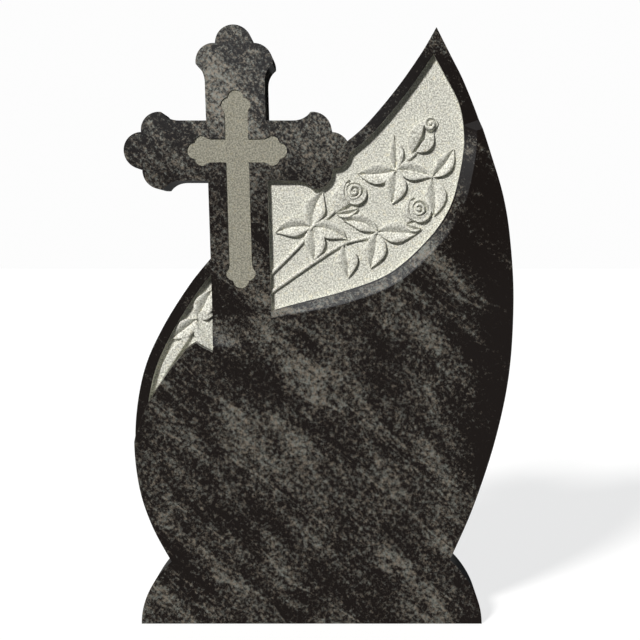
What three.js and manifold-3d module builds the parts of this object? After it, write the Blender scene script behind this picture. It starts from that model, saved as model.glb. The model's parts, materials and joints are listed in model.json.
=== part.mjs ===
// Grave monument: one upright stone, cut from a single slab as a leaf on a flared foot, with a cross
// grown from its left edge and rose sprigs in relief in a sunk, tooled field.
// Millimetres, +Z up, the carved front towards -Y, the origin on the ground under the stone's middle.
import * as THREE from "three";
import { mergeVertices } from "three/addons/utils/BufferGeometryUtils.js";
import Module from "manifold-3d";

// The slab and the leaf cut from it. The leaf's free edges and its sprigs are shares of these two lengths.
const leafWidth = 773; // twice the reach of its right edge from the stone's middle
const leafHeight = 1195; // ground to the leaf's tip
const stoneThickness = 100;

// The foot is the upper half of a wide oval, cut flat on the ground
const footWidth = 692;
const footOvalHeight = 225;
const footOffset = -17;

// How far each carved level lies behind the body's polished front
const crossSink = 12; // the cross's face and the leaf's rim
const fieldSink = 23; // the tooled field

// The rim around the field, and the sloped band between the field and the body's front
const rimWidth = 21;
const bandWidthLeft = 3;
const bandWidthRight = 24;
const bandWidens = [0.315, 0.47]; // where along the field's lower edge it does so, from its left end
const bandEndWidth = 19;
const bandEndHeight = 1040; // where the raised body's end would meet the leaf's widest reach
const bandEndSlope = 0.35;

// The big cross
const crossingHeight = 955; // ground to the middle of the arms
const crossingOffset = -162.5; // from the stone's middle
const crossRise = 245; // middle of the arms to the top
const crossReach = 224; // middle of the shaft to the end of an arm
const barWidth = 118;
const shaftEndHeight = 635; // where the cross's face meets the ramp in the body
const rampLength = 68;
const crossLean = 1.3; // degrees, its top to the left
const budRadius = 36.5;
const budSpread = 39.5; // from the bar's middle line to the middle of a side bud
const budStep = 35.5; // from the end bud's middle back to the side buds
const budTurn = 187; // degrees from straight right to where a side bud ends in a cusp
const neckLength = 112; // from the end of the bar to where its neck begins to widen
const neckBend = 0.35; // below 0.5, a neck flares late, close to its bud

// The small cross sunk in the big cross's face
const frostSink = 2;
const smallRise = 119;
const smallReach = 99;
const smallDrop = 272;
const smallBarWidth = 46;
const smallBudRadius = 16.5;
const smallBudSpread = 15;
const smallBudStep = 14.5;
const smallNeckLength = 51;

// The rose sprigs
const leafletLength = 74;
const leafletWidth = 40;
const leafletRise = 10.5; // from the field to a leaflet's highest line
const leafletPeak = 0.9; // below 1, a leaflet is widest a little before its middle
const endHeight = 0.45; // a leaflet's ends, its edges and its crease, as shares of its highest line
const edgeHeight = 0.7;
const creaseHeight = 0.4;
const crownPlace = 0.55; // from the crease to a half's highest line, as a share of the half's width
const leafletRoom = 2; // what is cut free around a leaflet that lies over the body
const stemWidth = 8;
const roseRadius = 21;
const roseRise = 11;
const roseTurns = 2.5; // how often the petal's edge winds around the middle
const petalStep = 3.2; // how far the petal's edge stands over the next winding
const roseDomeDrop = 0.45; // how much lower its dome lies towards the rim, as a share of its rise
const cupWidth = 54.6;
const cupRise = 6;
const cupTurn = -4; // degrees from the line between the flower's base and its middle
const sepalWidth = 15.75;
const sepalReach = 0.85; // as a share of that line's length
const sepalTurn = -36;
const longLeafLength = 140; // the leaf without a crease that lies along the rim at the left
const longLeafWidth = 19;
const longLeafRise = 9.5;
const budLength = 78;
const budWidth = 27;
const rootDepth = 4; // how deep the sprigs' undersides reach into the stone behind the field

// Levels along Y, how far a cutter reaches out of the stone, and how finely round stretches are stepped
const bodyFace = -stoneThickness / 2;
const backFace = stoneThickness / 2;
const crossFace = bodyFace + crossSink;
const fieldFace = bodyFace + fieldSink;
const clear = 10;
const arcSteps = 8;
const edgeSteps = 4;
const leafletSteps = 8;

const wasm = await Module();
wasm.setup();

// Plan points are seen from the front, x to the right and y up, and an edge is a row of them

function leafPoint([across, up]) {
  return new THREE.Vector2((across / 100) * (leafWidth / 2), (up / 100) * leafHeight);
}

function freeEdge(shares) {
  const curve = new THREE.SplineCurve(shares.map(leafPoint));
  return curve.getPoints((shares.length - 1) * edgeSteps);
}

// An edge moved to the right of its own direction
function offsetEdge(edge, widthAt) {
  return edge.map((point, index) => {
    const before = edge[Math.max(index - 1, 0)];
    const after = edge[Math.min(index + 1, edge.length - 1)];
    const along = after.clone().sub(before).normalize();
    const side = new THREE.Vector2(along.y, -along.x);
    return point.clone().addScaledVector(side, widthAt(index / (edge.length - 1)));
  });
}

// Solids

function toSolid(geometry) {
  const plain = geometry.clone();
  plain.deleteAttribute("normal");
  plain.deleteAttribute("uv");
  const merged = mergeVertices(plain, 1e-4);
  const vertProperties = new Float32Array(merged.attributes.position.array);
  const triVerts = new Uint32Array(merged.index.array);
  return new wasm.Manifold(new wasm.Mesh({ numProp: 3, vertProperties, triVerts }));
}

function plate(outline, front, back) {
  const shape = new THREE.Shape(outline);
  const geometry = new THREE.ExtrudeGeometry(shape, { depth: back - front, bevelEnabled: false });
  geometry.rotateX(Math.PI / 2);
  geometry.translate(0, back, 0);
  return toSolid(geometry);
}

// A closed solid through rows of points. Each row is a loop of as many points, and caps fill the ends.
function loft(rows, capFaces) {
  const count = rows[0].length;
  const triangles = [];
  for (let row = 0; row + 1 < rows.length; row += 1) {
    for (let i = 0; i < count; i += 1) {
      const j = (i + 1) % count;
      triangles.push([rows[row][i], rows[row][j], rows[row + 1][j]]);
      triangles.push([rows[row][i], rows[row + 1][j], rows[row + 1][i]]);
    }
  }
  const last = rows[rows.length - 1];
  for (const [a, b, c] of capFaces) {
    triangles.push([rows[0][a], rows[0][c], rows[0][b]]);
    triangles.push([last[a], last[b], last[c]]);
  }
  const volume = triangles.reduce((sum, [a, b, c]) => sum + a.dot(b.clone().cross(c)), 0);
  const outward = volume > 0 ? triangles : triangles.map(([a, b, c]) => [a, c, b]);
  const geometry = new THREE.BufferGeometry().setFromPoints(outward.flat());
  return toSolid(geometry);
}

function fanFaces(count) {
  return Array.from({ length: count - 2 }, (_, i) => [0, i + 1, i + 2]);
}

// The free edges of the leaf, each from its lower left to its end, in per cent of half the width and of
// the height

const leftEdge = freeEdge([
  [-75, 9.2], [-87.6, 16.9], [-94.5, 24.4], [-96.2, 33.5], [-91.5, 42.9], [-81.4, 50.4], [-66.6, 57.9],
  [-53.8, 62.9],
]);
const upperEdge = freeEdge([[13.5, 81.2], [24.2, 84.2], [39.5, 90], [52.4, 95.9], [59.8, 100]]);
const rightEdge = freeEdge([
  [59.8, 100], [67.5, 95.2], [73.7, 91.3], [81.2, 85.4], [87.5, 79.5], [94.3, 72.3], [98, 65.1],
  [100, 55.2], [98.2, 43.1], [91.5, 31.9], [80.7, 20.7], [70, 12.4], [65.2, 9.2],
]);
const fieldEdge = freeEdge([
  [-101, 27], [-96.3, 32.2], [-90.5, 37.1], [-83.3, 41.1], [-75, 44.8], [-62.9, 48.4], [-24.1, 53.4],
  [12.2, 56.6], [36.5, 59.7], [55.2, 65], [66.3, 70], [71.4, 75.1], [74.2, 81.4], [71.8, 87.3],
  [63.4, 92.7], [56, 97],
]);
const crossing = new THREE.Vector2(crossingOffset, crossingHeight);
const rampFoot = shaftEndHeight - rampLength;

function leafOutline() {
  return [...leftEdge, crossing, ...upperEdge, ...rightEdge.slice(1)];
}

function footOutline() {
  const points = [];
  const steps = arcSteps * 4;
  for (let i = 0; i <= steps; i += 1) {
    const angle = (i / steps) * Math.PI;
    const x = footOffset + Math.cos(angle) * (footWidth / 2);
    points.push(new THREE.Vector2(x, Math.sin(angle) * footOvalHeight));
  }
  return points;
}

// A cross whose bars end in trefoils. Each arm is drawn upright, from its left neck round its buds to its
// right neck, and then turned into place.

function arc(centre, radius, from, to) {
  const points = [];
  for (let i = 0; i <= arcSteps; i += 1) {
    const angle = from + ((to - from) * i) / arcSteps;
    points.push(new THREE.Vector2(Math.cos(angle), Math.sin(angle)).multiplyScalar(radius).add(centre));
  }
  return points;
}

function trefoilArm(length, half, neck, radius, spread, step) {
  const endBud = new THREE.Vector2(0, length - radius);
  const sideBud = new THREE.Vector2(-spread, length - radius - step);
  const between = endBud.clone().sub(sideBud);
  const outward = new THREE.Vector2(-between.y, between.x).normalize();
  const meet = sideBud.clone().addScaledVector(between, 0.5);
  meet.addScaledVector(outward, Math.sqrt(radius * radius - between.lengthSq() / 4));
  const angleAt = (centre) => meet.clone().sub(centre).angle();
  const cuspAngle = THREE.MathUtils.degToRad(budTurn);
  const [cusp] = arc(sideBud, radius, cuspAngle, Math.PI);
  const neckFoot = length - neck;
  const neckCurve = new THREE.QuadraticBezierCurve(
    new THREE.Vector2(-half, neckFoot),
    new THREE.Vector2(-half, THREE.MathUtils.lerp(cusp.y, neckFoot, neckBend)),
    cusp,
  );
  const left = [
    ...neckCurve.getPoints(arcSteps / 2).slice(0, -1),
    ...arc(sideBud, radius, cuspAngle, angleAt(sideBud)),
    ...arc(endBud, radius, angleAt(endBud), Math.PI / 2).slice(1),
  ];
  const right = left.slice(0, -1).reverse().map((point) => new THREE.Vector2(-point.x, point.y));
  return [...left, ...right];
}

function crossOutline(half, arms) {
  const lean = Math.tan(THREE.MathUtils.degToRad(crossLean));
  const points = [];
  arms.forEach((arm, quarter) => {
    for (const point of [...arm, new THREE.Vector2(half, half)]) {
      const turned = point.clone().rotateAround(new THREE.Vector2(), (-quarter * Math.PI) / 2);
      points.push(new THREE.Vector2(turned.x - turned.y * lean, turned.y).add(crossing));
    }
  });
  return points;
}

function bigCrossOutline(shaftEnd) {
  const half = barWidth / 2;
  const drop = crossingHeight - shaftEnd;
  const foot = [new THREE.Vector2(-half, drop), new THREE.Vector2(half, drop)];
  const arm = (length) => trefoilArm(length, half, neckLength, budRadius, budSpread, budStep);
  return crossOutline(half, [arm(crossRise), arm(crossReach), foot, arm(crossReach)]);
}

function smallCrossOutline() {
  const half = smallBarWidth / 2;
  const arm = (length) => (
    trefoilArm(length, half, smallNeckLength, smallBudRadius, smallBudSpread, smallBudStep)
  );
  return crossOutline(half, [arm(smallRise), arm(smallReach), arm(smallDrop), arm(smallReach)]);
}

// Everything above the field's lower edge is cut back to the cross's face, along a band that slopes up to
// the body's front. The second cut ends the raised body below the leaf's tip, between field and rim.

function slopedCut(edge, widthAt, farPoints) {
  const overrun = (crossSink + clear) / crossSink;
  const slope = offsetEdge(edge, (share) => widthAt(share) * overrun);
  const row = (points, depth) => (
    [...points, ...farPoints].map((point) => new THREE.Vector3(point.x, depth, point.y))
  );
  const faces = THREE.ShapeUtils.triangulateShape([...edge, ...farPoints], []);
  return loft([row(edge, crossFace), row(slope, bodyFace - clear)], faces);
}

function bandWidthAt(share) {
  const grown = THREE.MathUtils.smoothstep(share, ...bandWidens);
  return bandWidthLeft + (bandWidthRight - bandWidthLeft) * grown;
}

function aboveBody() {
  const top = leafHeight * 1.2;
  const sideCut = slopedCut(fieldEdge, bandWidthAt, [
    new THREE.Vector2(-leafWidth, top),
    new THREE.Vector2(-leafWidth, fieldEdge[0].y),
  ]);
  const endEdge = [0, leafWidth].map((x) => (
    new THREE.Vector2(x, bandEndHeight + (x - leafWidth / 2) * bandEndSlope)
  ));
  const endCut = slopedCut(endEdge, () => bandEndWidth, [
    new THREE.Vector2(endEdge[1].x, top),
    new THREE.Vector2(endEdge[0].x, top),
  ]);
  return sideCut.add(endCut);
}

// The foot of the cross runs out into the body's front on a ramp as wide as its shaft

function acrossShaft(section) {
  const lean = Math.tan(THREE.MathUtils.degToRad(crossLean));
  const middle = crossing.x + (crossingHeight - shaftEndHeight) * lean;
  const shape = new THREE.Shape(section.map(([depth, height]) => new THREE.Vector2(depth, height)));
  const geometry = new THREE.ExtrudeGeometry(shape, { depth: barWidth, bevelEnabled: false });
  const alongX = new THREE.Matrix4().makeBasis(
    new THREE.Vector3(0, 1, 0), new THREE.Vector3(0, 0, 1), new THREE.Vector3(1, 0, 0),
  );
  geometry.applyMatrix4(alongX);
  geometry.translate(middle - barWidth / 2, 0, 0);
  return toSolid(geometry);
}

function rampRoom() {
  const top = shaftEndHeight + clear;
  const front = bodyFace - clear;
  return acrossShaft([[front, rampFoot], [crossFace, rampFoot], [crossFace, top], [front, top]]);
}

function ramp() {
  const inside = fieldFace + clear;
  return acrossShaft([
    [inside, shaftEndHeight],
    [crossFace, shaftEndHeight],
    [bodyFace, rampFoot],
    [bodyFace, rampFoot - clear],
    [inside, rampFoot - clear],
  ]);
}

// The tooled field, sunk inside the rim and above its own edge

function fieldPocket() {
  const front = bodyFace - clear;
  const far = leafHeight;
  const inLeft = offsetEdge(leftEdge, () => rimWidth);
  const inUpper = offsetEdge(upperEdge, () => rimWidth);
  const underBud = inUpper[0].clone().sub(inUpper[1]).setLength(budRadius).add(inUpper[0]);
  const insideRim = [
    ...inLeft, crossing, underBud, ...inUpper, new THREE.Vector2(far, far), new THREE.Vector2(far, 0),
    new THREE.Vector2(inLeft[0].x, 0),
  ];
  const aboveEdge = [...fieldEdge, new THREE.Vector2(-far, far), new THREE.Vector2(-far, fieldEdge[0].y)];
  return plate(insideRim, front, fieldFace).intersect(plate(aboveEdge, front, fieldFace));
}

// The sprigs. Each leaflet grows from a node at an angle, in degrees from straight right. Then come its
// length and its width as shares of the usual ones, and its bow to the left as a share of its length.

const sprigs = [
  {
    node: [-3.9, 67.3],
    leaflets: [[189, 1, 0.93, -0.08], [72, 1, 1.1, 0.08], [-19, 1, 0.9, 0.1], [-87, 0.9, 1.02, 0.07]],
  },
  { node: [12.7, 64.5], leaflets: [[-83, 0.92, 1.02, 0.04]] },
  { node: [30, 66.5], leaflets: [[162, 0.97, 0.8, -0.12], [-3, 1.04, 1.02, 0.02], [-101, 1, 1.08, 0.03]] },
  {
    node: [39.3, 76.7],
    leaflets: [
      [185, 1.03, 1, 0.05], [92, 0.95, 0.68, -0.04], [-11, 0.96, 0.93, 0.08], [-96, 0.9, 1.06, 0.05],
    ],
  },
  { node: [58.2, 75.6], leaflets: [[53, 0.95, 0.82, -0.06], [-87, 1.04, 1.06, 0.05]] },
  { node: [-63.6, 52], leaflets: [[63, 0.88, 0.98, 0], [217, 0.92, 0.85, 0.02], [12, 0.5, 0.5, 0.1]] },
];
const leafletOverBody = { node: [-63.6, 52], leaflet: [-64, 0.98, 1.0, 0] };
const longLeaf = { base: [-65.5, 49.8], angle: 237, bow: -0.07 };
const stems = [
  [[-26.1, 56.2], [-3.4, 61.3], [12.7, 64.5], [25.6, 65.6], [30, 66.5]],
  [[-26.1, 59.2], [-9.1, 64.7], [-3.9, 67.3], [8.3, 69.6], [18.1, 73.3]],
  [[39.3, 76.7], [49.7, 79.4]],
];
const roses = [
  { middle: [18.1, 73.3], cup: [8.3, 69.6] },
  { middle: [51.5, 70.4], cup: [44.8, 67.4] },
];
const rosebud = { base: [49.7, 79.4], angle: 66 };

// A leaflet is two swelling halves either side of a crease, thin at its node and its tip
function leafShape(base, angle, length, width, crease, { fullRise = leafletRise, bow = 0 } = {}) {
  const along = new THREE.Vector2(1, 0).rotateAround(new THREE.Vector2(), THREE.MathUtils.degToRad(angle));
  const across = new THREE.Vector2(-along.y, along.x);
  const section = [[-1, edgeHeight], [-crownPlace, 1], [0, crease], [crownPlace, 1], [1, edgeHeight]];
  const rows = [];
  for (let i = 0; i <= leafletSteps; i += 1) {
    const share = i / leafletSteps;
    const swell = Math.sin(Math.PI * share ** leafletPeak);
    const half = Math.max((width / 2) * swell, 0.5);
    const rise = fullRise * (endHeight + (1 - endHeight) * swell);
    const axis = base.clone().addScaledVector(along, length * share);
    axis.addScaledVector(across, length * bow * 4 * share * (1 - share));
    const spot = (side, height) => {
      const plan = axis.clone().addScaledVector(across, half * side);
      return new THREE.Vector3(plan.x, fieldFace - height, plan.y);
    };
    rows.push([
      spot(-1, -rootDepth),
      ...section.map(([side, height]) => spot(side, rise * height)),
      spot(1, -rootDepth),
    ]);
  }
  return loft(rows, fanFaces(rows[0].length));
}

function leaflet(node, [angle, lengthShare, widthShare, bow]) {
  const length = leafletLength * lengthShare;
  return leafShape(leafPoint(node), angle, length, leafletWidth * widthShare, creaseHeight, { bow });
}

function smoothLeaf({ base, angle, bow }) {
  const foot = leafPoint(base);
  return leafShape(foot, angle, longLeafLength, longLeafWidth, 1.05, { fullRise: longLeafRise, bow });
}

function stem(shares) {
  const points = shares.map(leafPoint).map(({ x, y }) => new THREE.Vector3(x, fieldFace, y));
  const section = new THREE.Shape();
  section.absarc(0, 0, stemWidth / 2, 0, Math.PI * 2, false);
  const geometry = new THREE.ExtrudeGeometry(section, {
    steps: (shares.length - 1) * 3,
    curveSegments: 4,
    extrudePath: new THREE.CatmullRomCurve3(points),
  });
  return toSolid(geometry);
}

// A rose is a low dome with one petal edge wound around it, in a cup drawn out to its stem, over one sepal
function roseHead(middle) {
  const sectors = 20;
  const rings = 7;
  const rows = [];
  for (let ring = 0; ring <= rings + 1; ring += 1) {
    const share = Math.min(1, (rings + 1 - ring) / rings);
    const radius = roseRadius * Math.max(share, 0.08);
    rows.push(Array.from({ length: sectors }, (_, sector) => {
      const angle = (sector / sectors) * Math.PI * 2;
      const wound = (share * roseTurns + sector / sectors) % 1;
      const dome = roseRise * (1 - roseDomeDrop * (1 - Math.cos(share * 1.2)));
      const rise = ring === 0 ? -rootDepth : dome - petalStep * (1 - wound);
      return new THREE.Vector3(
        middle.x + Math.cos(angle) * radius,
        fieldFace - rise,
        middle.y + Math.sin(angle) * radius,
      );
    }));
  }
  return loft(rows, fanFaces(sectors));
}

function rose({ middle, cup }) {
  const head = leafPoint(middle);
  const base = leafPoint(cup);
  const reach = head.clone().sub(base);
  const angle = THREE.MathUtils.radToDeg(reach.angle());
  const cupLength = reach.length() + roseRadius;
  return [
    roseHead(head),
    leafShape(base, angle + cupTurn, cupLength, cupWidth, 0.97, { fullRise: cupRise }),
    leafShape(base, angle + sepalTurn, reach.length() * sepalReach, sepalWidth, 1.13),
  ];
}

// The rosebud's body and the two petals on it. Each one's turn from the bud's own angle comes first, then
// its length and its width as shares of the bud's, and the height of its middle as a share of its crown's.
const budBlades = [[0, 1, 1, 1.2], [12, 0.9, 0.5, 1.1], [-12, 0.75, 0.5, 1.1]];

function bud({ base, angle }) {
  return budBlades.map(([turn, lengthShare, widthShare, middle]) => (
    leafShape(leafPoint(base), angle + turn, budLength * lengthShare, budWidth * widthShare, middle)
  ));
}

// The whole stone

function carveStone() {
  const bigCross = plate(bigCrossOutline(shaftEndHeight), bodyFace, backFace);
  const crossAndRamp = plate(bigCrossOutline(rampFoot), bodyFace - clear, backFace);
  const overBody = leaflet(leafletOverBody.node, leafletOverBody.leaflet);
  const overBodyRoom = plate(leafletRoomOutline(), bodyFace - clear, fieldFace);
  const pocket = fieldPocket().add(overBodyRoom).subtract(crossAndRamp);
  const sprigSolids = [
    overBody,
    ...sprigs.flatMap(({ node, leaflets }) => leaflets.map((each) => leaflet(node, each))),
    ...stems.map(stem),
    smoothLeaf(longLeaf),
    ...roses.flatMap(rose),
    ...bud(rosebud),
  ];
  const slab = plate(leafOutline(), bodyFace, backFace)
    .add(plate(footOutline(), bodyFace, backFace))
    .add(bigCross);
  const faced = slab.subtract(aboveBody()).subtract(rampRoom()).add(ramp());
  const frost = plate(smallCrossOutline(), bodyFace - clear, crossFace + frostSink);
  return faced.subtract(pocket).subtract(frost).add(wasm.Manifold.union(sprigSolids));
}

function leafletRoomOutline() {
  const [angle, lengthShare, widthShare] = leafletOverBody.leaflet;
  const base = leafPoint(leafletOverBody.node);
  const turn = THREE.MathUtils.degToRad(angle);
  const length = leafletLength * lengthShare;
  const half = (leafletWidth * widthShare) / 2 + leafletRoom;
  const side = (sign) => Array.from({ length: leafletSteps + 1 }, (_, i) => {
    const share = i / leafletSteps;
    return new THREE.Vector2(length * share, sign * half * Math.sin(Math.PI * share ** leafletPeak));
  });
  const tip = new THREE.Vector2(length + leafletRoom, 0);
  return [...side(-1).slice(0, -1), tip, ...side(1).slice(1, -1).reverse()].map((point) => (
    point.rotateAround(new THREE.Vector2(), turn).add(base)
  ));
}

function toMesh(name, solid, material) {
  const { vertProperties, triVerts } = solid.getMesh();
  const geometry = new THREE.BufferGeometry();
  geometry.setAttribute("position", new THREE.Float32BufferAttribute(vertProperties, 3));
  geometry.setIndex(new THREE.Uint32BufferAttribute(triVerts, 1));
  geometry.computeVertexNormals();
  const mesh = new THREE.Mesh(geometry, material);
  mesh.name = name;
  return mesh;
}

const granite = new THREE.MeshStandardMaterial({ color: 0x3a3633, roughness: 0.22, metalness: 0 });

const monument = new THREE.Group();
monument.name = "grave_monument";
monument.add(toMesh("headstone", carveStone(), granite));

export default monument;
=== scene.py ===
# %% [markdown]
# A grave monument is one upright slab of granite. This one is cut to the outline of a leaf on a flared
# foot, with a cross growing from its left edge, and its upper part is sunk to a pale tooled field with
# sprigs of roses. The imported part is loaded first, because it fixes every size and place.

# %% Load the frame
import json
import math
import bmesh
import bpy
from mathutils import Matrix, Vector
from mathutils.geometry import interpolate_bezier

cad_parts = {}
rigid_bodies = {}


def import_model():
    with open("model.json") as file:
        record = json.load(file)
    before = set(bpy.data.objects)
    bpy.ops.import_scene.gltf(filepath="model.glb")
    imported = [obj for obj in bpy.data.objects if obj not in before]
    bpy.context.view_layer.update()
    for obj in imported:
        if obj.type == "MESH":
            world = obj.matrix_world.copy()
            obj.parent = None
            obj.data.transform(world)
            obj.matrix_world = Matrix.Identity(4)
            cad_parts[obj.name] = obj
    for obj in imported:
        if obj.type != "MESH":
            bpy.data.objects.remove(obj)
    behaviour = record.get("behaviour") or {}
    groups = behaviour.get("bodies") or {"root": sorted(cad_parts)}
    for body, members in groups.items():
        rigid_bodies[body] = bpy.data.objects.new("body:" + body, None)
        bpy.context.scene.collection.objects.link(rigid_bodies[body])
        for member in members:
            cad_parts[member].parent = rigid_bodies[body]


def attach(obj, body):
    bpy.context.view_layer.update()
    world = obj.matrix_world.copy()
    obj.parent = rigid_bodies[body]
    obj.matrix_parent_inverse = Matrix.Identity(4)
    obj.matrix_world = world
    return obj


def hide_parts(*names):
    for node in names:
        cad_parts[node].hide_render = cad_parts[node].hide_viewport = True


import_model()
for extra in [thing for thing in bpy.data.objects if thing.name in ("Cube", "Light", "Camera")]:
    bpy.data.objects.remove(extra)
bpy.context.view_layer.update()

# %% [markdown]
# A mason works from a full-size drawing and a few depths. The outline's free curves are rows of points,
# written as per cent of the leaf's half width and height, so the same drawing fits any size of slab. The
# depths are measured back from the body's polished front, which faces -Y.

# %% Sizes of the slab and its levels
LEAF_WIDTH = 0.773
LEAF_HEIGHT = 1.195
THICKNESS = 0.1
CROSS_SINK = 0.012
FIELD_SINK = 0.023
FROST_SINK = 0.002
FRONT = -THICKNESS / 2
BACK = THICKNESS / 2
CROSS_FACE = FRONT + CROSS_SINK
FIELD_FACE = FRONT + FIELD_SINK
FROST_FACE = CROSS_FACE + FROST_SINK
print("cross and field lie behind the front by", CROSS_SINK, "and", FIELD_SINK, "metres")

# %% [markdown]
# Every free curve runs smoothly through its points. A short run of a Bezier curve between each pair of
# points does that when its handles are a sixth of the way between the points' neighbours.

# %% Smooth curves through points
def leaf_point(share):
    """A point in metres, from per cent of the leaf's half width and of its height."""
    return Vector((share[0] / 100 * LEAF_WIDTH / 2, share[1] / 100 * LEAF_HEIGHT))


def smooth_run(points, steps):
    """A smooth row of points through the given ones, with steps to each stretch."""
    row = [points[0]]
    last = len(points) - 1
    for i in range(last):
        before = points[max(i - 1, 0)]
        start, end = points[i], points[i + 1]
        after = points[min(i + 2, last)]
        first_handle = start + (end - before) / 6
        second_handle = end - (after - start) / 6
        row += interpolate_bezier(start, first_handle, second_handle, end, steps + 1)[1:]
    return row


def free_edge(shares, steps=10):
    return smooth_run([leaf_point(share) for share in shares], steps)


def offset_edge(edge, width_at):
    """The edge moved to the right of its own direction, by a width that may change along it."""
    moved = []
    last = len(edge) - 1
    for i, point in enumerate(edge):
        along = (edge[min(i + 1, last)] - edge[max(i - 1, 0)]).normalized()
        moved.append(point + Vector((along.y, -along.x)) * width_at(i / last))
    return moved


print("the leaf's tip is at", [round(x, 3) for x in leaf_point((59.8, 100))])

# %% [markdown]
# The leaf's outline is three free runs: its left edge up to the cross, its upper edge from the cross to the
# tip, and its right edge from the tip down to the foot. The field's lower edge is a fourth one. It sweeps
# across the slab, from beyond the left edge to the tip, so that it cuts right through.

# %% The leaf's outline
LEFT_EDGE = free_edge([
    (-75, 9.2), (-87.6, 16.9), (-94.5, 24.4), (-96.2, 33.5), (-91.5, 42.9), (-81.4, 50.4),
    (-66.6, 57.9), (-53.8, 62.9),
])
UPPER_EDGE = free_edge([(13.5, 81.2), (24.2, 84.2), (39.5, 90), (52.4, 95.9), (59.8, 100)])
RIGHT_EDGE = free_edge([
    (59.8, 100), (67.5, 95.2), (73.7, 91.3), (81.2, 85.4), (87.5, 79.5), (94.3, 72.3),
    (98, 65.1), (100, 55.2), (98.2, 43.1), (91.5, 31.9), (80.7, 20.7), (70, 12.4), (65.2, 9.2),
])
FIELD_EDGE = free_edge([
    (-101, 27), (-96.3, 32.2), (-90.5, 37.1), (-83.3, 41.1), (-75, 44.8), (-62.9, 48.4),
    (-24.1, 53.4), (12.2, 56.6), (36.5, 59.7), (55.2, 65), (66.3, 70), (71.4, 75.1),
    (74.2, 81.4), (71.8, 87.3), (63.4, 92.7), (56, 97),
])
CROSSING = Vector((-0.1625, 0.955))
LEAF_OUTLINE = [*LEFT_EDGE, CROSSING, *UPPER_EDGE, *RIGHT_EDGE[1:]]
print("leaf outline of", len(LEAF_OUTLINE), "points")

# %% [markdown]
# The foot flares out below the leaf, so that the stone stands broadly. Its outline could be traced point
# by point, but it is the upper half of a wide oval, and one formula draws that more smoothly.

# %% The foot's outline
FOOT_WIDTH = 0.692
FOOT_OVAL_HEIGHT = 0.225
FOOT_OFFSET = -0.017


def foot_outline(steps=128):
    angles = [math.pi * i / steps for i in range(steps + 1)]
    return [
        Vector((FOOT_OFFSET + math.cos(a) * FOOT_WIDTH / 2, math.sin(a) * FOOT_OVAL_HEIGHT))
        for a in angles
    ]


print("foot outline of", len(foot_outline()), "points")

# %% [markdown]
# The cross has a trefoil at each free end: three round buds, struck with one radius, on a neck that flares
# into them. Each arm is drawn upright, then turned a quarter for the next, and the whole cross leans a
# little to the left. The small cross on its face is drawn by the same functions.

# %% The cross's outline
CROSS_LEAN = math.tan(math.radians(1.3))
BAR_WIDTH = 0.118
HEAD_REACH = 0.245
ARM_REACH = 0.224
SHAFT_END = 0.635
BIG_BUDS = {"neck": 0.112, "radius": 0.0365, "spread": 0.0395, "step": 0.0355}
SMALL_BAR_WIDTH = 0.046
SMALL_REACHES = (0.119, 0.099, 0.272, 0.099)
SMALL_BUDS = {"neck": 0.051, "radius": 0.0162, "spread": 0.0135, "step": 0.0145}
BUD_TURN = math.radians(187)
NECK_BEND = 0.35


def arc(centre, radius, start, end, steps=16):
    row = []
    for i in range(steps + 1):
        angle = start + (end - start) * i / steps
        row.append(centre + Vector((math.cos(angle), math.sin(angle))) * radius)
    return row


def trefoil_arm(length, half, neck, radius, spread, step):
    """An upright arm, from its left neck round three buds to its right neck.

    The side buds lie a spread beside and a step below the end bud, and the neck starts to flare that far
    below the arm's end.
    """
    end_bud = Vector((0, length - radius))
    side_bud = Vector((-spread, length - radius - step))
    between = end_bud - side_bud
    outward = Vector((-between.y, between.x)).normalized()
    meet = side_bud + between / 2
    meet += outward * math.sqrt(radius**2 - between.length_squared / 4)
    side_angle = math.atan2(*(meet - side_bud).yx)
    end_angle = math.atan2(*(meet - end_bud).yx)
    round_side = arc(side_bud, radius, BUD_TURN, side_angle)
    foot, cusp = Vector((-half, length - neck)), round_side[0]
    bend = Vector((-half, cusp.y + (foot.y - cusp.y) * NECK_BEND))
    left = interpolate_bezier(foot, foot.lerp(bend, 2 / 3), cusp.lerp(bend, 2 / 3), cusp, 9)[:-1]
    left += round_side
    left += arc(end_bud, radius, end_angle, math.pi / 2)[1:]
    right = [Vector((-point.x, point.y)) for point in reversed(left[:-1])]
    return left + right


def cross_outline(half, arms):
    """Four upright arms, each turned a quarter further, joined at the inner corners and leant."""
    points = []
    for quarter, arm in enumerate(arms):
        for point in [*arm, Vector((half, half))]:
            x, y = point
            for _ in range(quarter):
                x, y = y, -x
            points.append(Vector((x - y * CROSS_LEAN, y)) + CROSSING)
    return points


def big_cross(shaft_end):
    half = BAR_WIDTH / 2
    drop = CROSSING.y - shaft_end
    head = trefoil_arm(HEAD_REACH, half, **BIG_BUDS)
    arm = trefoil_arm(ARM_REACH, half, **BIG_BUDS)
    foot = [Vector((-half, drop)), Vector((half, drop))]
    return cross_outline(half, [head, arm, foot, arm])


def small_cross():
    half = SMALL_BAR_WIDTH / 2
    return cross_outline(half, [trefoil_arm(reach, half, **SMALL_BUDS) for reach in SMALL_REACHES])


print("cross outlines of", len(big_cross(SHAFT_END)), "and", len(small_cross()), "points")

# %% [markdown]
# A plate is one flat face, drawn from an outline and extruded. The stone is then cut as a mason cuts it,
# by taking solids away from the slab. A Boolean modifier does each cut, and its result is kept as a mesh.

# %% Plates and cuts
def plate(outline, front, back):
    """A flat plate with this outline, between two depths."""
    form = bmesh.new()
    face = form.faces.new([form.verts.new((x, front, z)) for x, z in outline])
    grown = bmesh.ops.extrude_face_region(form, geom=[face])["geom"]
    pushed = [item for item in grown if isinstance(item, bmesh.types.BMVert)]
    bmesh.ops.translate(form, vec=(0, back - front, 0), verts=pushed)
    bmesh.ops.recalc_face_normals(form, faces=form.faces)
    return form


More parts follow.
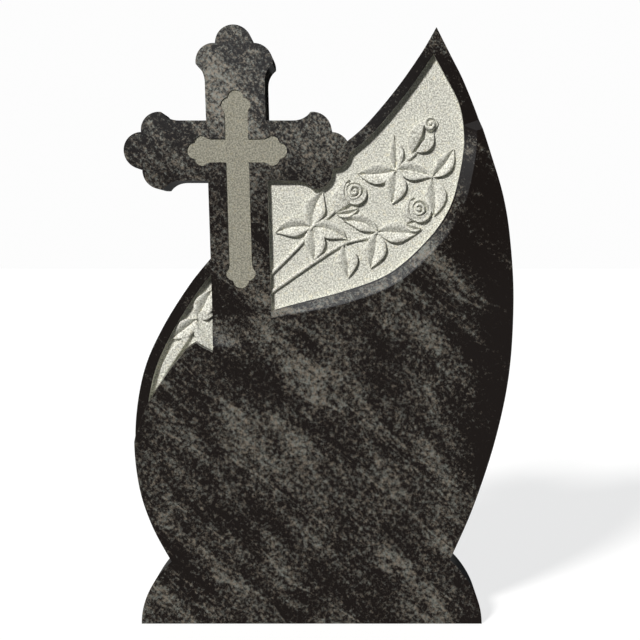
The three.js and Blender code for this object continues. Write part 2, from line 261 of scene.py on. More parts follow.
def as_object(form, name):
    """Puts the form in the scene as an object, and frees it."""
    mesh = bpy.data.meshes.new(name)
    form.to_mesh(mesh)
    form.free()
    made = bpy.data.objects.new(name, mesh)
    bpy.context.scene.collection.objects.link(made)
    return made


def apply_modifiers(target):
    """Keeps what the modifiers make as the object's own mesh."""
    depsgraph = bpy.context.evaluated_depsgraph_get()
    shaped = bpy.data.meshes.new_from_object(target.evaluated_get(depsgraph))
    target.modifiers.clear()
    target.data = shaped


def carve(target, form, operation):
    """Cuts the form off the target, joins it on or keeps what they share."""
    tool = as_object(form, "tool")
    cut = target.modifiers.new("cut", "BOOLEAN")
    cut.operation = operation
    cut.solver = "EXACT"
    cut.object = tool
    apply_modifiers(target)
    bpy.data.objects.remove(tool)


stone = as_object(plate(LEAF_OUTLINE, FRONT, BACK), "headstone_fine")
carve(stone, plate(foot_outline(), FRONT, BACK), "UNION")
carve(stone, plate(big_cross(SHAFT_END), FRONT, BACK), "UNION")
print("slab of", len(stone.data.polygons), "faces")

# %% [markdown]
# Everything above the field's lower edge is cut back to the cross's level, along a narrow band that
# slopes up to the body's front. The cutter is the plan of the part that goes, swept forward while its
# lower edge moves out, so one extrusion with a shifted edge makes the slope. The band is only a chamfer at
# the left, and grows to its full width beside the cross's shaft. A second cut ends the raised body below
# the tip.

# %% Cut back the cross, the rim and the field
CLEAR = 0.01
BAND_LEAST = 0.003
BAND_GAIN = 0.021
BAND_STARTS = 0.315
BAND_RUN = 0.155
BAND_END_WIDTH = 0.019
BAND_END_HEIGHT = 1.04
BAND_END_SLOPE = 0.35


def sloped_cutter(edge, width_at, far_points):
    """Takes what lies beyond the edge, down to the cross's level, and slopes outwards to the front."""
    overrun = (CROSS_SINK + CLEAR) / CROSS_SINK
    moved = offset_edge(edge, lambda share: width_at(share) * overrun)
    form = bmesh.new()
    plan = [*edge, *far_points]
    face = form.faces.new([form.verts.new((x, CROSS_FACE, z)) for x, z in plan])
    grown = bmesh.ops.extrude_face_region(form, geom=[face])["geom"]
    lifted = [item for item in grown if isinstance(item, bmesh.types.BMVert)]
    for vert, (x, z) in zip(lifted, [*moved, *far_points]):
        vert.co = (x, FRONT - CLEAR, z)
    bmesh.ops.triangulate(form, faces=form.faces)
    bmesh.ops.recalc_face_normals(form, faces=form.faces)
    return form


def band_width(share):
    grown = min(max((share - BAND_STARTS) / BAND_RUN, 0), 1)
    return BAND_LEAST + BAND_GAIN * grown * grown * (3 - 2 * grown)


def band_end(x):
    return Vector((x, BAND_END_HEIGHT + (x - LEAF_WIDTH / 2) * BAND_END_SLOPE))


over_top = LEAF_HEIGHT * 1.2
far_left = [Vector((-LEAF_WIDTH, over_top)), Vector((-LEAF_WIDTH, FIELD_EDGE[0].y))]
carve(stone, sloped_cutter(FIELD_EDGE, band_width, far_left), "DIFFERENCE")
end_edge = [band_end(0), band_end(LEAF_WIDTH)]
far_top = [Vector((end_edge[1].x, over_top)), Vector((end_edge[0].x, over_top))]
carve(stone, sloped_cutter(end_edge, lambda share: BAND_END_WIDTH, far_top), "DIFFERENCE")
print("faced slab of", len(stone.data.polygons), "faces")

# %% [markdown]
# The foot of the cross runs out into the body's front on a ramp as wide as its shaft. Its section is drawn
# from the side, extruded across the shaft, and added after the room for it has been cut.

# %% The ramp under the shaft
RAMP_FOOT = SHAFT_END - 0.068


def across_shaft(section):
    """A side section, given as depth and height, swept across the shaft's width."""
    middle = CROSSING.x + (CROSSING.y - SHAFT_END) * CROSS_LEAN
    form = bmesh.new()
    side = [form.verts.new((middle - BAR_WIDTH / 2, depth, height)) for depth, height in section]
    grown = bmesh.ops.extrude_face_region(form, geom=[form.faces.new(side)])["geom"]
    pushed = [item for item in grown if isinstance(item, bmesh.types.BMVert)]
    bmesh.ops.translate(form, vec=(BAR_WIDTH, 0, 0), verts=pushed)
    bmesh.ops.recalc_face_normals(form, faces=form.faces)
    return form


proud = FRONT - CLEAR
inside = FIELD_FACE + CLEAR
room = [
    (proud, RAMP_FOOT), (CROSS_FACE, RAMP_FOOT),
    (CROSS_FACE, SHAFT_END + CLEAR), (proud, SHAFT_END + CLEAR),
]
ramp = [
    (inside, SHAFT_END), (CROSS_FACE, SHAFT_END), (FRONT, RAMP_FOOT), (FRONT, RAMP_FOOT - CLEAR),
    (inside, RAMP_FOOT - CLEAR),
]
carve(stone, across_shaft(room), "DIFFERENCE")
carve(stone, across_shaft(ramp), "UNION")
print("stone with its ramp", len(stone.data.polygons), "faces")

# %% [markdown]
# A polished stone's outer edges are eased by a narrow rounded arris, which catches the light as a thin
# line. The flat faces are first merged, so that only real edges are left. Then every edge sharper than
# 20 degrees is bevelled, apart from those that stand on the ground.

# %% Ease the polished edges
ARRIS = 0.0013
SAME_PLACE = 1e-5
SAME_PLANE = math.radians(0.2)
HARD_EDGE = math.radians(20)
ON_GROUND = 0.001
form = bmesh.new()
form.from_mesh(stone.data)
bmesh.ops.remove_doubles(form, verts=form.verts, dist=SAME_PLACE)
bmesh.ops.dissolve_limit(form, angle_limit=SAME_PLANE, verts=form.verts, edges=form.edges)
hard = [
    edge for edge in form.edges
    if len(edge.link_faces) == 2
    and edge.calc_face_angle(0) > HARD_EDGE
    and max(vert.co.z for vert in edge.verts) > ON_GROUND
]
bmesh.ops.bevel(
    form, geom=hard, affect="EDGES", offset=ARRIS, offset_type="OFFSET", segments=2, profile=0.5,
    material=-1, clamp_overlap=True,
)
form.to_mesh(stone.data)
form.free()
print("eased", len(hard), "edges,", len(stone.data.polygons), "faces")

# %% [markdown]
# The field is sunk between the rim and its own lower edge, and round the cross, which stands in it. One
# pocket cutter does it all: the plan inside the rim, kept only above the field's edge and less the cross.
# At the left one leaflet lies over the body's edge, so the pocket also takes a little room around it.

# %% Sink the field and the small cross
LEAFLET_LENGTH = 0.074
LEAFLET_WIDTH = 0.040
LEFT_NODE = (-63.6, 52)
OVER_BODY_TURN = -64
OVER_BODY_LENGTH = 0.98
RIM_WIDTH = 0.021
RIM_RUN_ON = 0.038
ROOM = 0.002
ROOM_STEPS = 16


def lens(share):
    """A leaflet's width along its spine, widest a little before its middle."""
    return math.sin(math.pi * share**0.9)


def leaflet_room():
    """What is cut free around the one leaflet that lies over the body's edge."""
    length = LEAFLET_LENGTH * OVER_BODY_LENGTH
    shares = [i / ROOM_STEPS for i in range(ROOM_STEPS + 1)]
    lower = [Vector((length * t, -(LEAFLET_WIDTH / 2 + ROOM) * lens(t))) for t in shares]
    upper = [Vector((point.x, -point.y)) for point in reversed(lower[1:-1])]
    outline = [*lower[:-1], Vector((length + ROOM, 0)), *upper]
    turn = Matrix.Rotation(math.radians(OVER_BODY_TURN), 2)
    return [leaf_point(LEFT_NODE) + turn @ point for point in outline]


def field_pocket():
    """The cutter for the field. The rim's upper run goes on a little under the cross's bud."""
    far = LEAF_HEIGHT
    in_left = offset_edge(LEFT_EDGE, lambda share: RIM_WIDTH)
    in_upper = offset_edge(UPPER_EDGE, lambda share: RIM_WIDTH)
    under_bud = in_upper[0] + (in_upper[0] - in_upper[1]).normalized() * RIM_RUN_ON
    inside_rim = [
        *in_left, CROSSING, under_bud, *in_upper, Vector((far, far)), Vector((far, 0)),
        Vector((in_left[0].x, 0)),
    ]
    above_edge = [*FIELD_EDGE, Vector((-far, far)), Vector((-far, FIELD_EDGE[0].y))]
    pocket = as_object(plate(inside_rim, proud, FIELD_FACE), "pocket")
    carve(pocket, plate(above_edge, proud - CLEAR, FIELD_FACE + CLEAR), "INTERSECT")
    carve(pocket, plate(leaflet_room(), proud, FIELD_FACE), "UNION")
    carve(pocket, plate(big_cross(RAMP_FOOT), proud - CLEAR, FIELD_FACE + CLEAR), "DIFFERENCE")
    form = bmesh.new()
    form.from_mesh(pocket.data)
    bpy.data.objects.remove(pocket)
    return form


carve(stone, field_pocket(), "DIFFERENCE")
carve(stone, plate(small_cross(), proud, FROST_FACE), "DIFFERENCE")
print("sunk stone of", len(stone.data.polygons), "faces")

# %% [markdown]
# The sprigs are carved in relief. Each leaflet is folded along a deep crease, so its edges stand high over
# the field and its light side and dark side meet in a sharp line. A fine grid is bent to that form along a
# spine, and then its edge is extruded back into the stone, a little inwards, as an undercut.

# %% Bend a grid to a leaflet
SPINE_STEPS = 30
SIDE_STEPS = 20
ROOT_DEPTH = 0.004
CROWN_PLACE = 0.84
TIP_HALF_WIDTH = 0.0004


def height_across(side, crease, edge):
    """A section's height: the crease in its middle, a swelling either side, and its standing edges."""
    reach = abs(side)
    if reach < CROWN_PLACE:
        return crease + (1 - crease) * math.sin(reach / CROWN_PLACE * math.pi / 2)
    return 1 - (1 - edge) * ((reach - CROWN_PLACE) / (1 - CROWN_PLACE)) ** 2


def blade(form, spine, width, rise, crease=0.12, edge=0.9, low=0.45, undercut=0.1):
    """A petal or leaflet bent along the spine.

    Crease, edge and low are the shares of its rise that are left along its middle, at its sides and at its
    two ends.
    """
    made = bmesh.ops.create_grid(form, x_segments=SPINE_STEPS, y_segments=SIDE_STEPS, size=1)["verts"]
    last = len(spine) - 1
    for vert in made:
        share = (vert.co.x + 1) / 2
        side = vert.co.y
        place = share * last
        i = min(int(place), last - 1)
        middle = spine[i].lerp(spine[i + 1], place - i)
        along = (spine[min(i + 2, last)] - spine[max(i - 1, 0)]).normalized()
        across = Vector((-along.y, along.x))
        swell = lens(share)
        plan = middle + across * side * max(width / 2 * swell, TIP_HALF_WIDTH)
        height = rise * (low + (1 - low) * swell) * height_across(side, crease, edge)
        vert.co = (plan.x, FIELD_FACE - height, plan.y)
    faces = {face for vert in made for face in vert.link_faces}
    rim = [edge for face in faces for edge in face.edges if len(edge.link_faces) == 1]
    centre = sum((vert.co for vert in made), Vector()) / len(made)
    grown = bmesh.ops.extrude_edge_only(form, edges=list(set(rim)))["geom"]
    for vert in [item for item in grown if isinstance(item, bmesh.types.BMVert)]:
        vert.co = vert.co.lerp(centre, undercut)
        vert.co.y = FIELD_FACE + ROOT_DEPTH
    floor = [item for item in grown if isinstance(item, bmesh.types.BMEdge)]
    bmesh.ops.contextual_create(form, geom=floor)


def leaflet_spine(root, angle, length, bow=0):
    """A spine from its root that bows to its left by a share of its length."""
    turn = math.radians(angle)
    along = Vector((math.cos(turn), math.sin(turn))) * length
    lift = Vector((-along.y, along.x)) * bow * 4 / 3
    tip = root + along
    return interpolate_bezier(root, root + along / 3 + lift, tip - along / 3 + lift, tip, SPINE_STEPS)


print("a leaflet's grid has", SPINE_STEPS * SIDE_STEPS, "faces")

# %% [markdown]
# The leaflets grow in bunches from the nodes of the stems. Each row gives the angle from straight right,
# the length and the width as shares of the usual ones, and the bow. At the left a small leaflet runs under
# the cross's shaft, and a long leaf, swollen along its middle, lies beside the rim.

# %% Place the leaflets
LEAFLET_RISE = 0.0082
SMALL_LEAFLET = {"width": 0.02, "rise": 0.0065, "crease": 1}
LONG_LEAF = {"width": 0.019, "rise": 0.0095, "crease": 1, "edge": 0.5}
SPRIGS = {
    (-3.9, 67.3): [(189, 1, 0.93, -0.08), (72, 1, 1.1, 0.08), (-19, 1, 0.9, 0.1), (-87, 0.9, 1.02, 0.07)],
    (12.7, 64.5): [(-83, 0.92, 1.02, 0.04)],
    (30, 66.5): [(162, 0.97, 0.8, -0.12), (-3, 1.04, 1.02, 0.02), (-101, 1, 1.08, 0.03)],
    (39.3, 76.7): [(185, 1.03, 1, 0.05), (92, 0.95, 0.68, -0.04), (-11, 0.96, 0.93, 0.08),
                   (-96, 0.9, 1.06, 0.05)],
    (58.2, 75.6): [(53, 0.95, 0.82, -0.06), (-87, 1.04, 1.06, 0.05)],
    LEFT_NODE: [(63, 0.88, 0.98, 0), (217, 0.92, 0.85, 0.02),
                (OVER_BODY_TURN, OVER_BODY_LENGTH, 1.0, 0)],
}
sprig_form = bmesh.new()
for node, leaflets in SPRIGS.items():
    for angle, length, width, bow in leaflets:
        spine = leaflet_spine(leaf_point(node), angle, LEAFLET_LENGTH * length, bow)
        blade(sprig_form, spine, LEAFLET_WIDTH * width, LEAFLET_RISE)
blade(sprig_form, leaflet_spine(leaf_point(LEFT_NODE), 12, 0.037, 0.1), **SMALL_LEAFLET)
blade(sprig_form, leaflet_spine(leaf_point((-65.5, 49.8)), 237, 0.14, -0.07), **LONG_LEAF)
print("leaflets", sum(len(row) for row in SPRIGS.values()) + 2, "with", len(sprig_form.faces), "faces")

# %% [markdown]
# The stems are ridges, partly sunk in the field, that thin out towards the flower. A circle swept along a
# curve makes one, so each stem is a curve with a round bevel, kept as a mesh.

# %% Sweep the stems
STEM_OUT = 0.6
STEMS = [
    [(-26.1, 56.2), (-3.4, 61.3), (12.7, 64.5), (25.6, 65.6), (30, 66.5)],
    [(-26.1, 59.2), (-9.1, 64.7), (-3.9, 67.3), (3, 68.6), (8.6, 70.2)],
    [(39.3, 76.7), (49.7, 79.6)],
    [(39.3, 76.7), (58.2, 75.6)],
]


def add_stem(form, shares, radius=0.0037, thin=0.7):
    """A stem through these points, its middle out of the field by a share of its radius."""
    path = free_edge(shares, 8)
    curve = bpy.data.curves.new("stem", "CURVE")
    curve.dimensions = "3D"
    curve.bevel_depth = radius
    curve.bevel_resolution = 4
    curve.use_fill_caps = True
    run = curve.splines.new("POLY")
    run.points.add(len(path) - 1)
    for i, (point, spot) in enumerate(zip(run.points, path)):
        point.co = (spot.x, FIELD_FACE - radius * STEM_OUT, spot.y, 1)
        point.radius = 1 - (1 - thin) * i / len(path)
    swept = bpy.data.objects.new("stem", curve)
    form.from_mesh(swept.to_mesh())
    swept.to_mesh_clear()
    bpy.data.objects.remove(swept)


for shares in STEMS:
    add_stem(sprig_form, shares)
print("stems", len(STEMS))

# %% [markdown]
# A carved rose is one petal edge wound into a spiral, on a low dome. A grid is wrapped round the flower's
# middle, its height follows the spiral as a round ridge with a groove beside it, and its seam is merged.
# Outer petals hug the head as crescents, over a cup drawn out to the stem, with a sepal below.

# %% Wind a rose
ROSE_RADIUS = 0.0195
ROSE_RISE = 0.0125


def rose_head(form, middle, turned, rise=ROSE_RISE, radius=ROSE_RADIUS, turns=2.1, groove=0.0085):
    """A wound head. The groove fades out in the middle, and the outermost tenth rounds down."""
    made = bmesh.ops.create_grid(form, x_segments=140, y_segments=70, size=1)["verts"]
    for vert in made:
        angle = math.pi * vert.co.x
        share = (vert.co.y + 1) / 2
        wound = (share * turns + (angle + turned) / (2 * math.pi)) % 1
        ridge = math.sin(math.pi * wound)
        dome = rise * (0.7 + 0.3 * math.cos(share * 1.5))
        height = dome - groove * (1 - ridge) * min(1, share * 4)
        height *= 1 - 0.6 * max(0, (share - 0.9) / 0.1) ** 2
        wave = 1 + 0.04 * math.sin(3 * angle + turned) * share
        spot = middle + Vector((math.cos(angle), math.sin(angle))) * radius * wave * share
        vert.co = (spot.x, FIELD_FACE - height, spot.y)
    faces = {face for vert in made for face in vert.link_faces}
    bmesh.ops.remove_doubles(form, verts=made, dist=2e-5)
    rim = {edge for face in faces if face.is_valid for edge in face.edges if len(edge.link_faces) == 1}
    grown = bmesh.ops.extrude_edge_only(form, edges=list(rim))["geom"]
    for vert in [item for item in grown if isinstance(item, bmesh.types.BMVert)]:
        vert.co.y = FIELD_FACE + ROOT_DEPTH
    floor = [item for item in grown if isinstance(item, bmesh.types.BMEdge)]
    bmesh.ops.contextual_create(form, geom=floor)


def crescent(middle, radius, start, end):
    return arc(middle, radius, math.radians(start), math.radians(end), SPINE_STEPS - 1)


def add_rose(form, middle, base, turned):
    """A cup from its base to the head, a lip on one side, an outer petal on the other, and the head."""
    reach = middle - base
    angle = math.degrees(math.atan2(reach.y, reach.x))
    cup = leaflet_spine(base, angle + 6, reach.length + ROSE_RADIUS * 0.8, 0.1)
    blade(form, cup, ROSE_RADIUS * 2.1, 0.0078, crease=1, edge=0.15)
    lip = crescent(middle, ROSE_RADIUS * 1.3, angle + 200, angle + 65)
    blade(form, lip, 0.0095, 0.0105, crease=1, edge=0.7)
    outer = crescent(middle, ROSE_RADIUS * 1.1, angle + 165, angle + 335)
    blade(form, outer, 0.0125, 0.0082, crease=0.9)
    rose_head(form, middle, turned, radius=ROSE_RADIUS * 0.95)


ROSES = [
    (leaf_point((18.1, 73.3)), Vector((0.032, 0.833)), 0.4),
    (leaf_point((51.4, 70.4)), Vector((0.174, 0.813)), 2.4),
]
SEPAL_RISE = 0.0085
SEPAL_BOW = -0.12
SEPALS = [
    (Vector((0.032, 0.832)), 12, 0.047, 0.016),
    (Vector((0.173, 0.810)), -16, 0.032, 0.014),
]
for middle, base, turned in ROSES:
    add_rose(sprig_form, middle, base, turned)
for root, angle, length, width in SEPALS:
    blade(sprig_form, leaflet_spine(root, angle, length, SEPAL_BOW), width, SEPAL_RISE)
print("roses", len(ROSES), "and the sprigs now have", len(sprig_form.faces), "faces")

# %% [markdown]
# The rosebud is still closed. Two smooth petals part along a dark line, and the small wound mouth of the
# flower shows between their tips.

# %% Carve the rosebud
BUD_MOUTH = Vector((0.2213, 1.007))
left_petal = leaflet_spine(Vector((0.184, 0.952)), 66.6, 0.069, 0.1)
blade(sprig_form, left_petal, 0.025, 0.0115, crease=1, edge=0.5)
right_petal = leaflet_spine(Vector((0.192, 0.9536)), 48, 0.0515, -0.15)
blade(sprig_form, right_petal, 0.021, 0.009, crease=1, edge=0.6)
rose_head(sprig_form, BUD_MOUTH, 0.15, rise=0.0108, radius=0.0142, turns=1.2, groove=0.0065)
bmesh.ops.recalc_face_normals(sprig_form, faces=sprig_form.faces)
sprigs = as_object(sprig_form, "rose_sprigs")
print("sprigs of", len(sprigs.data.polygons), "faces")

# %% [markdown]
# A finish is built from a few kinds of node, over and over: noise on the stone's own coordinates, sums,
# a smooth step between two values and a blend of two colours. Each gets a short helper first.

# %% Node helpers
def new_material(name):
    material = bpy.data.materials.new(name)
    material.use_nodes = True
    tree = material.node_tree
    shader = tree.nodes["Principled BSDF"]
    return material, tree, shader


def add_node(tree, kind, inputs=None, **settings):
    """A node whose inputs are either set to a value or linked from another node's socket."""
    made = tree.nodes.new("ShaderNode" + kind)
    for key, value in settings.items():
        setattr(made, key, value)
    for key, value in (inputs or {}).items():
        socket = made.inputs[key]
        if isinstance(value, bpy.types.NodeSocket):
            tree.links.new(value, socket)
        else:
            socket.default_value = value
    return made


def slanted(tree, slant, stretch):
    """Object coordinates turned so that their first axis runs down the slant, and stretched along it."""
    place = add_node(tree, "TexCoord")
    turned = add_node(tree, "Mapping", {"Vector": place.outputs["Object"]}, vector_type="TEXTURE")
    turned.inputs["Rotation"].default_value = (0, math.radians(slant), 0)
    turned.inputs["Scale"].default_value = (stretch, 1, 1)
    return turned.outputs["Vector"]


def noise(tree, vector, scale, detail, roughness=0.5):
    made = add_node(tree, "TexNoise", {
        "Vector": vector, "Scale": scale, "Detail": detail, "Roughness": roughness,
    })
    return made.outputs["Fac"]


def math_node(tree, operation, first, second):
    made = add_node(tree, "Math", {0: first, 1: second}, operation=operation)
    return made.outputs[0]


def spread(tree, value, low, high, to_low=0.0, to_high=1.0):
    """A smooth step from one value, at low, to another, at high."""
    made = add_node(tree, "MapRange", {
        "Value": value, "From Min": low, "From Max": high, "To Min": to_low, "To Max": to_high,
    }, interpolation_type="SMOOTHSTEP")
    return made.outputs["Result"]


def blend_colours(tree, factor, first, second):
    made = add_node(tree, "Mix", {"Factor": factor}, data_type="RGBA")
    for socket, value in ((made.inputs[6], first), (made.inputs[7], second)):
        if isinstance(value, bpy.types.NodeSocket):
            tree.links.new(value, socket)
        else:
            socket.default_value = (*value, 1)
    return made.outputs[2]


def object_axes(tree):
    return add_node(tree, "SeparateXYZ", {0: add_node(tree, "TexCoord").outputs["Object"]}).outputs


print("helpers from", new_material.__name__, "to", object_axes.__name__)

# %% [markdown]
# The polished granite is nearly black, with grey and beige grains that gather in slanting streaks and thin
# veins. Noise makes all three: two coarse ones, stretched along the slant, say where the grains are dense,
# and a fine one makes the grains. The grains are nearly missing along the right edge and on the rim beside
# the field. Painted sheen is added too: extra grains on the sloped band, and denser, brighter grains
# towards the top, make those parts look lighter, as a polished face that catches the light would.

# %% Polished granite
def calm_stretches(tree):
    """1 where the stone is nearly free of grains: its right edge, and the rim beside the field."""
    across, depth, height = object_axes(tree)
    higher_up = spread(tree, height, 0.55, 0.75, 0, 0.035)
    right_edge = spread(tree, math_node(tree, "ADD", across, higher_up), 0.27, 0.36)
    rim_right = spread(tree, across, 0.04, 0.09)
    far_left = spread(tree, across, -0.24, -0.30)
    rim_left = math_node(tree, "MULTIPLY", far_left, spread(tree, height, 0.86, 0.78))
    cut_back = spread(tree, depth, CROSS_FACE - 0.002, CROSS_FACE - 0.001)
    tip_side = math_node(tree, "MAXIMUM", cut_back, spread(tree, height, 0.9, 0.98))
    rim = math_node(tree, "MULTIPLY", math_node(tree, "MAXIMUM", rim_right, rim_left), tip_side)
    rim = math_node(tree, "MULTIPLY", rim, spread(tree, depth, CROSS_FACE + 0.01, CROSS_FACE + 0.005))
    rim = math_node(tree, "MULTIPLY", rim, spread(tree, height, 1.12, 1.17, 1, 0.3))
    return math_node(tree, "MAXIMUM", right_edge, rim)


def sloped_band_sheen_mask(tree):
    """1 on the sloped band, which lies between the front's level and the cross's. Painted sheen goes there.
    """
    depth, height = object_axes(tree)[1:3]
    below_front = spread(tree, depth, FRONT + 0.0006, FRONT + 0.0016)
    above_cut = spread(tree, depth, CROSS_FACE - 0.0006, CROSS_FACE - 0.0016)
    sloped = math_node(tree, "MULTIPLY", below_front, above_cut)
    sloped = math_node(tree, "MULTIPLY", sloped, spread(tree, height, 0.95, 0.8))
    return math_node(tree, "MULTIPLY", sloped, spread(tree, height, 0.5, 0.6))


def polished_granite():
    material, tree, shader = new_material("polished_granite")
    height = object_axes(tree)[2]
    veins = noise(tree, slanted(tree, 41, 6), 11, 2)
    streaks = noise(tree, slanted(tree, 46, 3.4), 17, 4, 0.62)
    flocks = noise(tree, slanted(tree, 46, 1.1), 135, 3, 0.9)
    from_vein = math_node(tree, "ABSOLUTE", math_node(tree, "SUBTRACT", veins, 0.5), 0)
    grain_density_and_sheen = math_node(tree, "MULTIPLY", streaks, 0.4)
    grain_density_and_sheen = math_node(tree, "ADD", grain_density_and_sheen, spread(tree, from_vein, 0.02, 0, 0, 0.05))
    # Painted sheen: extra grains on the sloped band make it look lighter, as if it caught the overhead
    # light.
    grain_density_and_sheen = math_node(tree, "ADD", grain_density_and_sheen, math_node(tree, "MULTIPLY", sloped_band_sheen_mask(tree), 0.05))
    # Painted sheen: the grains grow denser towards the top.
    grain_density_and_sheen = math_node(tree, "ADD", grain_density_and_sheen, spread(tree, height, 0.9, 1.08, 0, 0.02))
    grain_density_and_sheen = math_node(tree, "SUBTRACT", grain_density_and_sheen, math_node(tree, "MULTIPLY", calm_stretches(tree), 0.09))
    grains = math_node(tree, "ADD", grain_density_and_sheen, math_node(tree, "MULTIPLY", flocks, 0.62))
    # Painted sheen: the grains grow brighter towards the top, so the upper stone looks lighter.
    painted_sheen_by_height = spread(tree, height, 0.88, 1.04, 0.6, 0.9)
    lit = spread(tree, grains, 0.482, 0.678, 0, painted_sheen_by_height)
    tint = spread(tree, noise(tree, slanted(tree, 46, 1), 190, 1), 0.35, 0.65)
    grain_colour = blend_colours(tree, tint, (0.335, 0.288, 0.229), (0.305, 0.320, 0.290))
    colour = blend_colours(tree, lit, (0.0120, 0.0092, 0.0082), grain_colour)
    tree.links.new(colour, shader.inputs["Base Color"])
    shader.inputs["Roughness"].default_value = 0.14
    shader.inputs["Specular IOR Level"].default_value = 0.45
    return material


polished = polished_granite()
print("polished granite of", len(polished.node_tree.nodes), "nodes")

# %% [markdown]
# The tooled field and the frosted cross are the same stone with a broken surface, so they scatter light
# and look pale, with a fine bump. One function makes both, the frosted one darker and smoother.

# %% Tooled and frosted granite
WARM_GRAINS = (0.98, 0.9, 0.72)


def rough_granite(name, dark, light, roughness, bump):
    material, tree, shader = new_material(name)
    place = add_node(tree, "TexCoord").outputs["Object"]
    grains = spread(tree, noise(tree, place, 330, 2, 0.6), 0.3, 0.7)
    colour = blend_colours(tree, grains, dark, light)
    warm = spread(tree, noise(tree, place, 160, 2), 0.55, 0.75, 0, 0.35)
    warm_light = tuple(part * share for part, share in zip(light, WARM_GRAINS))
    colour = blend_colours(tree, warm, colour, warm_light)
    tree.links.new(colour, shader.inputs["Base Color"])
    shader.inputs["Roughness"].default_value = roughness
    shader.inputs["Specular IOR Level"].default_value = 0.25
    pits = add_node(tree, "Bump", {
        "Height": noise(tree, place, 520, 3, 0.7), "Strength": bump, "Distance": 0.0008,
    })
    tree.links.new(pits.outputs["Normal"], shader.inputs["Normal"])
    return material


tooled = rough_granite("tooled_granite", (0.33, 0.325, 0.28), (0.93, 0.93, 0.85), 0.85, 0.8)
frosted = rough_granite("frosted_granite", (0.17, 0.165, 0.135), (0.43, 0.415, 0.34), 0.7, 0.3)
print("materials", [material.name for material in bpy.data.materials])

# %% [markdown]
# The finishes go on by level: what lies at the field's depth is tooled, what lies at the small cross's
# depth is frosted, and all the rest is polished. Smooth shading with weighted normals keeps the big flats
# flat and lets the eased edges turn.

# %% Put the finishes on
LEVEL_ROOM = 0.0002
finishes = [polished, tooled, frosted]
for material in finishes:
    stone.data.materials.append(material)
sprigs.data.materials.append(tooled)
for face in stone.data.polygons:
    depths = [stone.data.vertices[i].co.y for i in face.vertices]
    sunk = min(depths) > CROSS_FACE - LEVEL_ROOM
    if sunk and abs(max(depths) - FROST_FACE) < LEVEL_ROOM:
        face.material_index = finishes.index(frosted)
    elif sunk and abs(max(depths) - FIELD_FACE) < LEVEL_ROOM:
        face.material_index = finishes.index(tooled)


def shade(target, sharp):
    """Smooth shading, with edges sharper than this many degrees kept."""
    target.data.shade_smooth()
    target.data.set_sharp_from_angle(angle=math.radians(sharp))


shade(stone, 50)
shade(sprigs, 40)
even = stone.modifiers.new("even", "WEIGHTED_NORMAL")
even.keep_sharp = True
even.weight = 100
apply_modifiers(stone)
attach(stone, "root")
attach(sprigs, "root")
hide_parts("headstone")
print("finished", stone.name, "and", sprigs.name)

# %% [markdown]
# The scene is a plain white studio on a pale floor. The floor glows to the camera alone, so that it meets
# the white surround without a line, and it throws only a little light back at the stone.

# %% Floor
FLOOR_GLOW = 0.745
floor_form = bmesh.new()
bmesh.ops.create_grid(floor_form, x_segments=1, y_segments=1, size=30)
floor = as_object(floor_form, "studio_floor")
floor_material, floor_tree, floor_shader = new_material("pale_floor")
seen = add_node(floor_tree, "LightPath").outputs["Is Camera Ray"]
floor_colour = blend_colours(floor_tree, seen, (0.08, 0.08, 0.08), (0.32, 0.32, 0.32))
floor_tree.links.new(floor_colour, floor_shader.inputs["Base Color"])
floor_shader.inputs["Roughness"].default_value = 0.8
floor_shader.inputs["Specular IOR Level"].default_value = 0.1
floor_shader.inputs["Emission Color"].default_value = (1, 1, 1, 1)
glow = math_node(floor_tree, "MULTIPLY", seen, FLOOR_GLOW)
floor_tree.links.new(glow, floor_shader.inputs["Emission Strength"])
floor.data.materials.append(floor_material)
print("floor", floor.name)

# %% [markdown]
# One soft key light from the upper left rakes over the relief. A sun lamp with a wide angle makes it, and
# the polished stone doesn't mirror the lamp itself.

# %% Key light
KEY_DIRECTION = Vector((-0.443, -0.693, 0.568))
key_data = bpy.data.lights.new("key", "SUN")
key_data.energy = 4.1
key_data.angle = math.radians(9)
key_data.color = (1, 0.985, 0.96)
key = bpy.data.objects.new("key", key_data)
key.rotation_euler = KEY_DIRECTION.to_track_quat("Z", "Y").to_euler()
key.visible_glossy = False
bpy.context.scene.collection.objects.link(key)
print("key light of", round(key_data.energy, 2), "watts per square metre")

# %% [markdown]
# The polished stone mirrors what stands before it, so the surround is pure white only to the camera.
# Reflections see two bright patches in front, a low screen at the left and the ceiling, and near darkness
# elsewhere. Diffuse light comes mostly from behind, so the relief's shadows get very little of it.

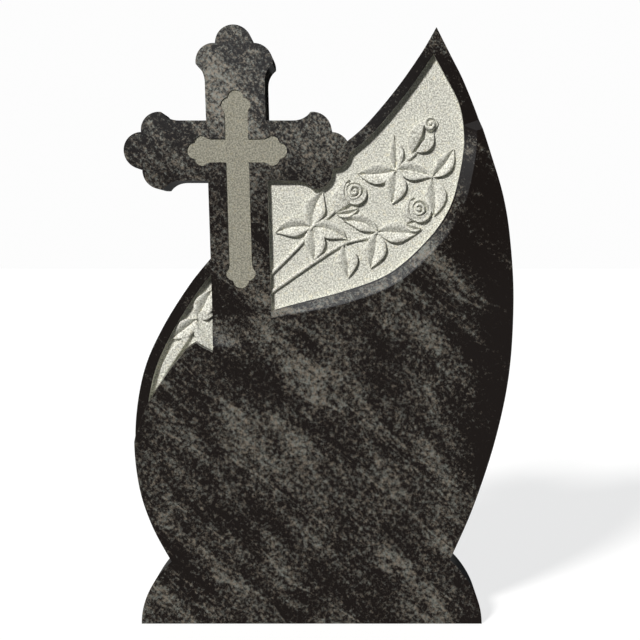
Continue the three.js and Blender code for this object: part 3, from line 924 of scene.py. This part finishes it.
# %% Surround
CAMERA_WHITE = 0.98
world = bpy.data.worlds.new("studio")
bpy.context.scene.world = world
world.use_nodes = True
world_tree = world.node_tree
background = world_tree.nodes["Background"]
direction = add_node(world_tree, "TexCoord").outputs["Generated"]
sideways, forward, upward = add_node(world_tree, "SeparateXYZ", {0: direction}).outputs
screen = spread(world_tree, upward, 0.05, 0.16, 0.04, 1)
screen = math_node(world_tree, "MULTIPLY", screen, spread(world_tree, upward, 0.29, 0.22))
screen = math_node(world_tree, "MULTIPLY", screen, spread(world_tree, sideways, 0.05, 0))
ceiling = spread(world_tree, upward, 0.4, 0.66, 0, 2)
overhead = spread(world_tree, upward, 0.83, 0.9, 1, 0.2)
in_front = spread(world_tree, forward, 0.1, -0.3, 0.01, 1)
mirrored = math_node(world_tree, "ADD", screen, ceiling)
mirrored = math_node(world_tree, "MULTIPLY", mirrored, overhead)
mirrored = math_node(world_tree, "MULTIPLY", mirrored, in_front)
behind = spread(world_tree, forward, 0.1, 0.7, 0.06, 0.45)
rays = add_node(world_tree, "LightPath").outputs
to_stone = add_node(world_tree, "Mix", {"Factor": rays["Is Glossy Ray"], 2: behind, 3: mirrored},
                    data_type="FLOAT").outputs[0]
strength = add_node(world_tree, "Mix", {"Factor": rays["Is Camera Ray"], 2: to_stone, 3: CAMERA_WHITE},
                    data_type="FLOAT").outputs[0]
world_tree.links.new(strength, background.inputs["Strength"])
cool = blend_colours(world_tree, rays["Is Camera Ray"], (0.88, 0.95, 1), (1, 1, 1))
world_tree.links.new(cool, background.inputs["Color"])
bpy.context.scene.view_settings.view_transform = "Standard"
print("surround of", len(world_tree.nodes), "nodes")

# %% [markdown]
# The camera stands two metres in front, a little right of the middle, and looks slightly down without
# turning aside. How far right it stands shows in the narrow strips of side face beside the cross's bars.
# The shift, given in the picture's pixels, puts the stone back in the middle of the picture.

# %% Camera
PICTURE_PIXELS = 640
FOCAL_PIXELS = 1061
SHIFT_PIXELS = (-37.4, 5)
SENSOR_WIDTH = 36
CAMERA_PLACE = (0.076, -2.157, 0.772)
LOOKS_DOWN = 4.4
camera_data = bpy.data.cameras.new("camera")
camera_data.sensor_width = SENSOR_WIDTH
camera_data.lens = FOCAL_PIXELS / PICTURE_PIXELS * SENSOR_WIDTH
camera_data.shift_x = SHIFT_PIXELS[0] / PICTURE_PIXELS
camera_data.shift_y = SHIFT_PIXELS[1] / PICTURE_PIXELS
camera = bpy.data.objects.new("camera", camera_data)
camera.location = CAMERA_PLACE
camera.rotation_euler = (math.radians(90 - LOOKS_DOWN), 0, 0)
bpy.context.scene.collection.objects.link(camera)
bpy.context.scene.camera = camera
print("camera at", list(camera.location))
